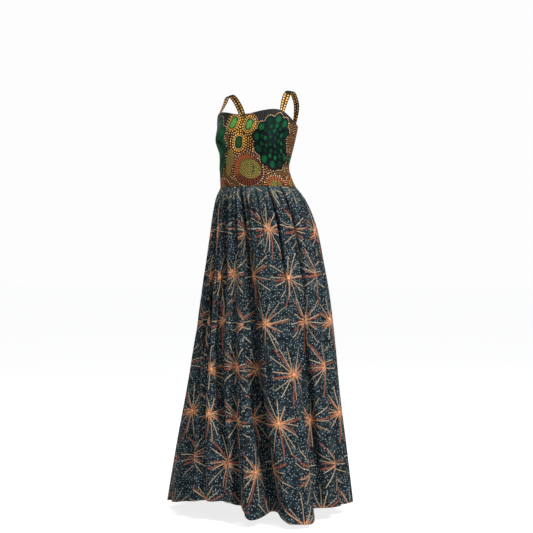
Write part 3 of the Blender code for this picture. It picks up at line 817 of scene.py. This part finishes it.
# Crests and troughs from centre back round by the right side, the front and the left side: the
# angle at which each leaves the waist and reaches the hem, its push out or in under the gathers,
# halfway and at the hem, and how far its hem drops, in degrees and millimetres.
FOLDS = table(
    "waist at_hem top mid hem drop",
    (-180, -180, 0, 4, 8, 4),
    (-168, -166, -3, -16, -32, -3),
    (-156, -153, 2, 12, 24, 7),
    (-144, -140, -4, -20, -38, -2),
    (-132, -126, 2, 10, 26, 10),
    (-120, -112, -2, -14, -30, 8),
    (-109, -98, 2, 10, 16, 19),
    (-99, -84, -3, -10, -14, 15),
    (-88, -69, 2, 8, 10, 12),
    (-78, -55, -4, -12, -12, 2),
    (-68, -41, 2, 8, 9, -7),
    (-58, -28, -3, -20, -14, -18),
    (-52, -20, 3, 9, 4, -26),
    (-45, -12, -5, -32, -14, -33),
    (-37, -6, 4, 9, 6, -35),
    (-28, 1, -9, -26, -14, -37),
    (-20, 6, 3, 4, -6, -34),
    (-13, 11, -4, -9, -46, -21),
    (-7, 21, 4, 14, 40, 8),
    (-1, 34, -9, -36, -38, -6),
    (16, 42, 3, 10, 58, 18),
    (36, 52, 3, 12, 57, 21),
    (52, 65, -3, -12, -42, -8),
    (68, 81, 2, 10, 12, -13),
    (82, 94, -3, -10, -20, -4),
    (96, 107, 2, 12, 18, -8),
    (110, 120, -3, -14, -30, -6),
    (124, 133, 2, 10, 26, 4),
    (138, 145, -4, -18, -34, -3),
    (152, 157, 2, 10, 24, 6),
    (166, 168, -3, -16, -30, -3),
    (180, 180, 0, 4, 8, 4),
)
TOP_FOLD = 0.06  # where the top and the mid pushes lie, as shares of the skirt's length
MID_FOLD = 0.45
# The tucks of the gathering: the angle of each at the waist, how deep it goes in, in millimetres,
# and how far down the skirt it runs, as a share of the skirt's length.
TUCKS = table(
    "angle depth runs",
    (-180, 0, 0.25),
    (-171, 10, 0.45),
    (-160, 22, 0.66),
    (-153, 9, 0.34),
    (-143, 26, 0.72),
    (-134, 11, 0.40),
    (-121, 22, 0.68),
    (-113, 9, 0.38),
    (-101, 20, 0.62),
    (-92, 11, 0.40),
    (-80, 16, 0.50),
    (-70, 12, 0.45),
    (-61, 9, 0.25),
    (-52, 26, 0.82),
    (-46, 15, 0.62),
    (-41, 8, 0.20),
    (-36, 22, 0.55),
    (-30, 24, 0.80),
    (-23, 34, 0.50),
    (-16, 10, 0.24),
    (-10, 20, 0.32),
    (-3, 42, 0.88),
    (4, 12, 0.20),
    (11, 6, 0.12),
    (19, 9, 0.24),
    (28, 5, 0.12),
    (37.5, 22, 0.45),
    (48, 6, 0.14),
    (58, 24, 0.58),
    (68, 6, 0.16),
    (79, 16, 0.55),
    (89, 9, 0.34),
    (100, 20, 0.60),
    (109, 9, 0.36),
    (121, 24, 0.70),
    (131, 10, 0.40),
    (142, 22, 0.68),
    (152, 10, 0.40),
    (163, 20, 0.64),
    (172, 9, 0.40),
    (180, 0, 0.25),
)


def ease(low, high, value):
    """A soft step from 0 at low to 1 at high."""
    t = np.clip((value - low) / (high - low), 0, 1)
    return t * t * (3 - 2 * t)


def fold_lines(angle, down):
    """(angle, push, drop) of the lines of cloth that leave the waist at these angles."""
    fold = {key: np.array([row[key] for row in FOLDS], float) for key in FOLDS[0]}
    after = np.clip(np.searchsorted(fold["waist"], angle), 1, len(FOLDS) - 1)
    near, far = after - 1, after
    share = (angle - fold["waist"][near]) / (fold["waist"][far] - fold["waist"][near])

    def push(i):
        top, mid, hem = fold["top"][i], fold["mid"][i], fold["hem"][i]
        upper = top * ease(0, TOP_FOLD, down)
        middle = top + (mid - top) * ease(TOP_FOLD, MID_FOLD, down)
        lower = mid + (hem - mid) * (down - MID_FOLD) / (1 - MID_FOLD)
        return np.where(down < TOP_FOLD, upper, np.where(down < MID_FOLD, middle, lower))

    low, high = push(near), push(far)
    climb = np.clip(np.where(low < high, share, 1 - share), 0, 1)
    climb = (1 - np.cos(np.pi * climb ** (0.62 + 0.14 * down))) / 2
    pushed = np.minimum(low, high) + np.abs(high - low) * climb
    at_hem = fold["at_hem"][near] + (fold["at_hem"][far] - fold["at_hem"][near]) * share
    drop = fold["drop"][near] + (fold["drop"][far] - fold["drop"][near]) * ease(0, 1, share)
    return angle + (at_hem - angle) * down, pushed / 1000, drop / 1000


def tucked(angle, down):
    """The push of the gathering: narrow deep tucks between broad round ridges."""
    tuck = {key: np.array([row[key] for row in TUCKS], float) for key in TUCKS[0]}
    after = np.clip(np.searchsorted(tuck["angle"], angle), 1, len(TUCKS) - 1)
    near, far = after - 1, after
    share = (angle - tuck["angle"][near]) / (tuck["angle"][far] - tuck["angle"][near])
    start = 0.35 + 0.65 * ease(0, 0.035, down)
    sunk = 0
    for side in (near, far):
        depth, runs = tuck["depth"][side], tuck["runs"][side]
        mouth = (2.0 + 0.13 * depth) / 1000 * (1 + 0.4 * down / runs)
        off = np.radians(np.abs(angle - tuck["angle"][side])) * (0.136 + 0.17 * down**0.8)
        within = 1 - ease(0.1, 1, off / mouth)
        fade = 1 - ease(0.25, 1.0, down / runs)
        sunk = np.maximum(sunk, depth / 1000 * fade * start * within)
    swell = 0.0040 * np.sin(np.pi * share) ** 0.8 * start * (1 - ease(0.1, 0.5, down))
    return swell - sunk


def skirt_points(line, down):
    """The skirt's outer side: down is 0 at the waist seam and 1 at the hem."""
    around, push, drop = fold_lines(line, down)
    z = WAIST_Z - SEAM_GAP / 2 + (HEM_Z - WAIST_Z) * down
    points = section_points(SKIRT_SECTIONS, around, z, push + tucked(line, down))
    points[..., 2] -= drop * down**3
    return points


TEAL = (0.0120, 0.0215, 0.0275)
PALE_TEAL = (0.0250, 0.0410, 0.0500)
INK = (0.0042, 0.0048, 0.0058)
# painted light on the top of the skirt, just below the waist seam
PAINTED_LIGHT_TEAL = (0.034, 0.060, 0.067)
SPECKLE = (0.40, 0.47, 0.48)
DIM_SPECKLE = (0.13, 0.18, 0.20)
FLECK = (0.035, 0.070, 0.085)
HEM_THREAD = (0.045, 0.075, 0.085)
STREAK = (0.27, 0.190, 0.115)
PALE_STREAK = (0.42, 0.32, 0.200)
BRICK = (0.23, 0.066, 0.040)
EMBER = (0.34, 0.100, 0.048)
PEACH = (0.84, 0.43, 0.20)
BURST_ACROSS = 0.180  # between the bursts of one row
BURST_DOWN = 0.1595  # between rows
BURST_SHIFT = (0.164, 0.072)  # how far aside the odd and the even rows start
FIRST_BURST = 0.154  # the first row's distance below the waist seam
# The wide strokes of a burst: each one's turn in degrees from the right towards the hem, where it
# starts and ends, its width, and how far aside its end is bent.
BRICK_STROKES = table(
    "turn start end width bend",
    (88, 0.012, 0.108, 0.0031, 0.010),
    (-9, 0.010, 0.088, 0.0034, -0.008),
    (20, 0.014, 0.060, 0.0026, 0.006),
    (158, 0.008, 0.078, 0.0040, 0.006),
    (184, 0.012, 0.064, 0.0028, -0.006),
    (-128, 0.020, 0.104, 0.0032, -0.012),
    (-60, 0.010, 0.046, 0.0026, 0.004),
)


def rays(across, up, radius, lot, count, start, end, width, number):
    """A ring of uneven straight strokes round a burst's middle. Returns (mask, random numbers)."""
    turn = (up.math("ARCTAN2", across) / math.tau + 0.5 + lot.part(1)) % 1
    sector = turn * count
    index = sector.floor()
    random = chance(index + lot.part(0) * 61, number)
    aside = (sector - index - 0.5 - (random.part(0) - 0.5) * 0.6) * (math.tau / count)
    aside = abs(aside * radius - (random.part(2) - 0.5) * 0.007)
    reach = end * (0.60 + 0.40 * random.part(1))
    begin = start * (0.3 + 1.4 * random.part(2))
    line = step(aside, width * 1.15, width * 0.65)
    return line * step(radius, reach, reach * 0.95) * step(radius, begin, begin * 1.12), random


def burst_lattice(colour, u, v, shift, first, number):
    """Bursts on a lattice: beaded brick strokes, fine pale ones and a glowing middle."""
    column = (u - shift) / BURST_ACROSS + 0.5
    row = (v - first) / (2 * BURST_DOWN) + 0.5
    lot = chance(column.floor() % 3, row.floor() + number * 5)
    across = (column - column.floor() - 0.5) * BURST_ACROSS
    up = (row - row.floor() - 0.5) * (2 * BURST_DOWN)
    up = up + (lot.part(2) - 0.5) * 0.020
    radius = distance(across, up)
    bead = spots(u, v, 0.0046, 0.6)[0]
    grain = (0.20 + 0.80 * step(bead, 0.58, 0.36)) * step(v, 0.020, 0.050)
    lean = (lot.part(1) - 0.5) * 0.5
    along, off = across + up * lean, up - across * lean
    brick = 0.0
    for line in BRICK_STROKES:
        c, s = math.cos(math.radians(line["turn"])), math.sin(math.radians(line["turn"]))
        out = along * c + off * s
        aside = off * c - along * s - out * out * (line["bend"] / line["end"] ** 2)
        stroke = step(abs(aside), line["width"] * 1.2, line["width"] * 0.6)
        stroke = stroke * step(out, line["end"], line["end"] * 0.94)
        brick = (stroke * step(out, line["start"], line["start"] * 1.3)).math("MAXIMUM", brick)
    colour = mixed(brick * grain, colour, mixed(step(radius, 0.050, 0.015), BRICK, EMBER))
    streaks, random = rays(across, up, radius, lot, 13, 0.010, 0.106, 0.0014, number + 7)
    colour = mixed(streaks, colour, mixed(random.part(2), STREAK, PALE_STREAK))
    short, _ = rays(across, up, radius, lot, 15, 0.004, 0.030, 0.0014, number + 3)
    lower = step(v, 0.020, 0.050)
    colour = mixed(short * lower * 0.85, colour, mixed(step(radius, 0.026, 0.008), EMBER, PEACH))
    glow = noise(across, up, 0.006, 2.0)
    lit = 0.55 + 0.45 * lot.part(0)
    colour = mixed(step(radius + glow * 0.008, 0.024, 0.006) * lower * 0.8 * lit, colour, EMBER)
    return mixed(step(radius + glow * 0.006, 0.0105, 0.0045) * lower * lit, colour, PEACH)


SPECKLE_PITCH = 0.0096
FLECK_PITCH = 0.0064
HEM_STITCH_ROW = 1.078  # below the waist seam
HEM_STITCH = 0.0034
SKIRT_RELIEF = 0.0007

printed_skirt, shader = new_finish("skirt_print", 0.80)
u, v = cut_place()
mottle = noise(u, v, 0.030, 4.0)
colour = mixed(step(mottle, 0.38, 0.62), TEAL, PALE_TEAL)
colour = mixed(step(noise(u, v, 0.016, 3.0), 0.62, 0.44) * 0.7, colour, INK)
# Painted light: the cloth just below the waist seam is lighter, where the top of the skirt flares
# out and catches light from above.
colour = mixed(step(v + mottle * 0.05, 0.11, 0.03) * 0.6, colour, PAINTED_LIGHT_TEAL)
away, numbers = spots(u, v, SPECKLE_PITCH, 0.90)
dot = step(away, 0.185, 0.125) * step(numbers.part(0), 0.20, 0.24)
speckle = mixed(numbers.part(2), DIM_SPECKLE, SPECKLE)
colour = mixed(dot, colour, mixed(step(numbers.part(1), 0.82, 0.88), speckle, STREAK))
away, numbers = spots(u + 0.4, v, FLECK_PITCH, 0.9)
colour = mixed(step(away, 0.16, 0.10) * step(numbers.part(0), 0.6, 0.7), colour, FLECK)
colour = burst_lattice(colour, u, v, BURST_SHIFT[1], FIRST_BURST + BURST_DOWN, 2)
colour = burst_lattice(colour, u, v, BURST_SHIFT[0], FIRST_BURST, 1)
stitch_row = step(abs(v - HEM_STITCH_ROW), 0.0006, 0.0003)
stitches = step(abs((u / HEM_STITCH) % 1 - 0.5), 0.38, 0.30)
feed(shader, "Base Color", mixed(stitch_row * stitches, colour, HEM_THREAD))
weave(shader, u, v, SKIRT_RELIEF)

SKIRT_CREASES = table(
    "start end width depth bow",
    ((-0.412, 0.26), (-0.468, 1.04), 0.022, -0.033, 0.012),
    ((-0.345, 0.34), (-0.350, 0.98), 0.015, 0.006, -0.006),
    ((-0.262, 0.28), (-0.262, 1.04), 0.019, -0.029, 0.008),
    ((-0.110, 0.56), (-0.160, 1.09), 0.017, -0.019, -0.006),
    ((-0.060, 0.44), (-0.060, 1.06), 0.016, 0.006, 0.004),
    ((-0.014, 0.30), (0.024, 1.09), 0.027, -0.042, 0.010),
    ((0.095, 0.34), (0.110, 0.86), 0.012, -0.006, -0.008),
    ((0.130, 0.55), (0.120, 1.05), 0.018, 0.005, 0.006),
    ((0.215, 0.56), (0.192, 1.02), 0.019, -0.015, -0.006),
    ((0.326, 0.44), (0.332, 1.09), 0.019, -0.028, 0.004),
    ((0.420, 0.66), (0.430, 1.08), 0.012, -0.008, -0.004),
    ((0.475, 0.22), (0.470, 0.80), 0.015, -0.010, 0.006),
    ((0.060, 0.05), (0.150, 0.20), 0.008, -0.004, 0.006),
    ((0.260, 0.04), (0.300, 0.26), 0.010, -0.004, -0.008),
    ((-0.590, 0.36), (-0.600, 0.94), 0.015, -0.010, 0.006),
    ((-0.780, 0.30), (-0.800, 0.98), 0.016, -0.020, 0.007),
    ((-0.905, 0.46), (-0.890, 1.06), 0.015, -0.015, -0.006),
    ((-1.060, 0.28), (-1.085, 0.92), 0.017, -0.021, 0.008),
    ((-1.230, 0.42), (-1.235, 1.05), 0.015, -0.018, -0.005),
    ((-1.330, 0.56), (-1.345, 1.08), 0.014, -0.009, 0.005),
    ((0.600, 0.32), (0.625, 0.96), 0.016, -0.020, -0.007),
    ((0.700, 0.50), (0.705, 1.07), 0.015, -0.015, 0.006),
    ((0.810, 0.26), (0.835, 0.90), 0.016, -0.021, 0.007),
    ((0.930, 0.44), (0.940, 1.05), 0.015, -0.017, -0.006),
    ((1.010, 0.60), (1.015, 1.08), 0.013, -0.008, 0.005),
)

ROWS_DOWN = np.concatenate([np.linspace(0, 0.12, 34)[:-1], np.linspace(0.12, 1, 99)])
SKIRT_PANELS = (  # each between two angles and two flat places round from the centre front
    ("skirt_front", (-90.0, 90.0), (-0.725, 0.520), 345),
    ("skirt_back_left", (90.0, 180.0), (0.520, 1.085), 190),
    ("skirt_back_right", (-180.0, -90.0), (-1.425, -0.725), 190),
)
for name, (start, end), (first, last), columns in SKIRT_PANELS:
    fine = np.linspace(start, end, 2400)
    run = lengths(skirt_points(*np.broadcast_arrays(fine[None, :], ROWS_DOWN[:, None])), 1)
    even = np.linspace(0, 1, columns)
    line = np.array([np.interp(even, row / row[-1], fine) for row in run])
    points = skirt_points(line, np.broadcast_to(ROWS_DOWN[:, None], line.shape))
    around = first + (last - first) * even
    fall = np.broadcast_to(lengths(points, 0).mean(axis=1, keepdims=True), points.shape[:2])
    flat = np.stack([np.broadcast_to(around, points.shape[:2]), fall], axis=-1)
    points = creased(points, flat, SKIRT_CREASES)
    run = lengths(points, 1)
    flat[..., 0] = first + (last - first) * run / run[:, -1:]
    piece = cloth_shell(f"{name}_cloth", points, flat)
    dress_in(piece, name, printed_skirt)
    flat_size(flat)


# ---------------------------------------------------------------- zip
# A concealed zip at the centre back: two woven tapes sewn behind the panels, a coil between
# them, and an enamelled slider at the top with a pull tab that swings on its pin.
TAPE_WALL = 0.0010
TAPE_REACH = 5.0  # degrees from the centre back to a tape's edge
TAPE_END = 0.15  # as a share of the skirt's length
TAPE_ABOVE = 0.6  # the share of a tape's rows that lie above the waist
TAPE_PASS = 0.004  # where the rows below it start, as a share of the skirt's length
TAPE_SEAM = 0.0085  # from the centre back to the stitching of a tape
TAPE_STITCH = 0.0028
RIB_PITCH = 0.0009
CORD_PITCH = 0.0011
TAPE_BLACK = (0.008, 0.008, 0.009)
TAPE_GREY = (0.034, 0.034, 0.036)
TAPE_THREAD = (0.10, 0.075, 0.045)
SLIDER_Z = -0.134
COIL_PITCH = 0.0014
COIL_WIRE = 0.00028
COIL_LOOP = (0.0010, 0.00065)  # half its width and half its depth
COIL_ASIDE = 0.0007  # from the middle of the zip to the middle of each coil
COIL_STOP = 0.004  # from the lowest turn to the ends of the tapes
COIL_BLACK = (0.012, 0.012, 0.013)
COIL_GREY = (0.045, 0.045, 0.047)


def zip_points(angle, along):
    """Points on the backs' outer side down the centre back: along is 0 at the top and 1 below."""
    is_above = along < TAPE_ABOVE
    share = np.where(is_above, along / TAPE_ABOVE, (along - TAPE_ABOVE) / (1 - TAPE_ABOVE))
    above = bodice_points(angle, 1 - share)
    down = TAPE_PASS + (TAPE_END - TAPE_PASS) * share
    around, push, _ = fold_lines(angle, down)
    z = WAIST_Z - SEAM_GAP / 2 + (HEM_Z - WAIST_Z) * down
    below = section_points(SKIRT_SECTIONS, around, z, push)
    return np.where(is_above[..., None], above, below)


def tube(name, path, radius, sides=6):
    """A round wire along a path of points."""
    ahead = np.gradient(path, axis=0)
    ahead /= np.linalg.norm(ahead, axis=1, keepdims=True)
    beside = np.cross(ahead, (0.1, 0.2, 1.0))
    beside /= np.linalg.norm(beside, axis=1, keepdims=True)
    turn = np.linspace(0, 2 * np.pi, sides, endpoint=False)[None, :, None]
    ring = np.cos(turn) * beside[:, None] + np.sin(turn) * np.cross(ahead, beside)[:, None]
    points = (path[:, None] + radius * ring).reshape(-1, 3)
    a = np.arange(len(points)).reshape(len(path), sides)
    quads = np.stack([a[:-1], np.roll(a, -1, 1)[:-1], np.roll(a, -1, 1)[1:], a[1:]], axis=-1)
    mesh = bpy.data.meshes.new(name)
    faces = quads.reshape(-1, 4).tolist() + [a[0, ::-1].tolist(), a[-1].tolist()]
    mesh.from_pydata(points, [], faces)
    mesh.shade_smooth()
    return new_object(name, mesh)


tape_finish, shader = new_finish("zip_tape_weave", 0.85)
u, v = cut_place()
ribs = abs((v / RIB_PITCH) % 1 - 0.5) * 2
cords = abs((u / CORD_PITCH) % 1 - 0.5) * 2
threads = mixed(ribs * (0.5 + 0.5 * cords), TAPE_BLACK, TAPE_GREY)
stitch_row = step(abs(abs(u) - TAPE_SEAM), 0.0004, 0.0002)
stitches = step(abs((v / TAPE_STITCH) % 1 - 0.5), 0.36, 0.30)
feed(shader, "Base Color", mixed(stitch_row * stitches, threads, TAPE_THREAD))
bump = {"Height": ribs + cords, "Distance": 0.0002}
feed(shader, "Normal", Shade.node("ShaderNodeBump", {}, bump))

coil_finish, shader = new_finish("zip_coil", 0.40)
place_on = Shade.node("ShaderNodeTexCoord", output=3)
rubbed = noise(place_on.part(0) + place_on.part(1), place_on.part(2), 0.004, 2.0)
feed(shader, "Base Color", mixed(rubbed, COIL_BLACK, COIL_GREY))

along = np.concatenate([np.linspace(0, TAPE_ABOVE, 90)[:-1], np.linspace(TAPE_ABOVE, 1, 60)])
for name, side in (("zip_tape_left", 1), ("zip_tape_right", -1)):
    angle = side * np.linspace(180.0 - TAPE_REACH, 179.98, 9)[None, :]
    angle, rows = np.broadcast_arrays(angle, along[:, None])
    points = zip_points(angle, rows)
    run, fall = lengths(points, 1), lengths(points, 0)
    points = points - outwards(points) * (PANEL_WALL + SEAM_GAP)
    flat = np.stack([(run - run[:, -1:]) * side, fall], axis=-1)
    piece = cloth_shell(f"{name}_cloth", points, flat, TAPE_WALL)
    dress_in(piece, name, tape_finish)
    flat_size(flat)

beside = np.full((200, 2), 180.0) - (0.0, 0.02)
middle = zip_points(beside, np.linspace(0, 1, 200)[:, None] * (1, 1))
inwards = -outwards(middle)[:, 0]
middle = middle[:, 0] + inwards * (PANEL_WALL + SEAM_GAP + TAPE_WALL + COIL_LOOP[1] + COIL_WIRE)
reach = lengths(middle, 0)
start = float(np.interp(-SLIDER_Z, -middle[:, 2], reach))
turns = int((reach[-1] - COIL_STOP - start) / COIL_PITCH)
for name, side in (("zip_coil_left", 1), ("zip_coil_right", -1)):
    at = np.linspace(0, turns, turns * 10 + 1)
    down_zip = start + at * COIL_PITCH
    line = np.stack([np.interp(down_zip, reach, column) for column in middle.T], axis=-1)
    inner = np.stack([np.interp(down_zip, reach, column) for column in inwards.T], axis=-1)
    phase = 2 * np.pi * at + (0 if side > 0 else np.pi)
    across = np.array([1.0, 0, 0]) * side
    path = line + across * (COIL_ASIDE + COIL_LOOP[0] * np.cos(phase))[:, None]
    path = path + inner * (COIL_LOOP[1] * np.sin(phase))[:, None]
    piece = tube(name, path, COIL_WIRE)
    piece.data.materials.append(coil_finish)
    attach(piece, "dress")

ROUNDED_EDGE = 0.00018
SHARP_ANGLE = 50  # degrees between faces whose edge is rounded
ENAMEL = (0.012, 0.012, 0.013)
RUBBED_METAL = (0.16, 0.15, 0.14)

enamel, shader = new_finish("zip_enamel", 0.32)
place_on = Shade.node("ShaderNodeTexCoord", output=3)
worn = noise(place_on.part(0), place_on.part(2), 0.002, 3.0)
feed(shader, "Base Color", mixed(step(worn, 0.62, 0.75), ENAMEL, RUBBED_METAL))
feed(shader, "Roughness", 0.25 + worn * 0.25)
shader.inputs["Metallic"].default_value = 0.9
shader.inputs["Specular IOR Level"].default_value = 0.5
for name, body in (("zip_slider", "dress"), ("zip_pull", "pull_tab")):
    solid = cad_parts[name]
    form = bmesh.new()
    form.from_mesh(solid.data)
    bmesh.ops.remove_doubles(form, verts=form.verts, dist=0.00001)
    edges = {"verts": form.verts, "edges": form.edges}
    bmesh.ops.dissolve_limit(form, angle_limit=math.radians(2), **edges)
    sharp = [
        edge for edge in form.edges
        if edge.is_manifold and edge.calc_face_angle() > math.radians(SHARP_ANGLE)
    ]
    rounding = dict(offset=ROUNDED_EDGE, segments=2, profile=0.5, clamp_overlap=True)
    bmesh.ops.bevel(form, geom=sharp, affect="EDGES", **rounding)
    mesh = bpy.data.meshes.new(f"{name}_rounded")
    form.to_mesh(mesh)
    form.free()
    mesh.materials.append(enamel)
    piece = new_object(f"{name}_rounded", mesh)
    piece.matrix_world = solid.matrix_world
    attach(piece, body)
    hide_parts(name)


# ---------------------------------------------------------------- studio
# A pale floor just under the hem, three round lamps and the camera. The backdrop is white
# behind the dress and grey all round, so that it lights the dress softly.
FLOOR_Z = -1.436
CAMERA_TURN = 28.0
CAMERA_DISTANCE = 4.2
CAMERA_HEIGHT = -0.598
CAMERA_ASIDE = 0.031
FRAME_WIDTH_PX = 533
FOCAL_PX = 1218
# How far each lamp stands towards the camera, to its right and up, the height it aims at, its
# size and its power in watts.
LAMPS = table(
    "name back aside up aim size power",
    ("key", 3.0, 2.2, 1.5, -0.75, 0.6, 155),
    ("top", 1.8, 0.0, 2.4, -0.6, 1.4, 30),
    ("back", -2.6, -1.6, 1.6, -0.6, 1.0, 50),
)
PAPER_GREY = (0.36, 0.37, 0.38)
PAPER_WHITE = (0.98, 0.98, 0.98)

bpy.ops.mesh.primitive_plane_add(size=80, location=(0, 0, FLOOR_Z))
floor = bpy.context.object
floor.name = "studio_floor"
pale, shader = new_finish("studio_paper", 0.9)
shader.inputs["Base Color"].default_value = (0.40, 0.40, 0.40, 1)
shader.inputs["Emission Color"].default_value = (1, 1, 1, 1)
shader.inputs["Emission Strength"].default_value = 0.80
floor.data.materials.append(pale)

turn = math.radians(CAMERA_TURN)
back = Vector((math.sin(turn), -math.cos(turn), 0))
aside = Vector((math.cos(turn), math.sin(turn), 0))
camera = new_object("camera", bpy.data.cameras.new("camera"))
camera.data.lens = camera.data.sensor_width * FOCAL_PX / FRAME_WIDTH_PX
camera.location = back * CAMERA_DISTANCE + aside * CAMERA_ASIDE + Vector((0, 0, CAMERA_HEIGHT))
camera.rotation_euler = (-back).to_track_quat("-Z", "Y").to_euler()
bpy.context.scene.camera = camera

for row in LAMPS:
    lamp = bpy.data.lights.new(row["name"], "AREA")
    lamp.shape = "DISK"
    lamp.size = row["size"]
    lamp.energy = row["power"]
    holder = new_object(row["name"], lamp)
    holder.location = back * row["back"] + aside * row["aside"] + Vector((0, 0, row["up"]))
    aim = Vector((0, 0, row["aim"])) - holder.location
    holder.rotation_euler = aim.to_track_quat("-Z", "Y").to_euler()

world = bpy.data.worlds.new("studio")
world.use_nodes = True
Shade.tree = world.node_tree
background = world.node_tree.nodes["Background"]
toward = Shade.node("ShaderNodeTexCoord", output=0)
behind = toward.part(0) * -back.x + toward.part(1) * -back.y
paper = mixed(step(behind, 0.80, 0.94), PAPER_GREY, PAPER_WHITE)
feed(background, "Color", paper)
background.inputs["Strength"].default_value = 1.0
bpy.context.scene.world = world
bpy.context.scene.view_settings.view_transform = "Standard"
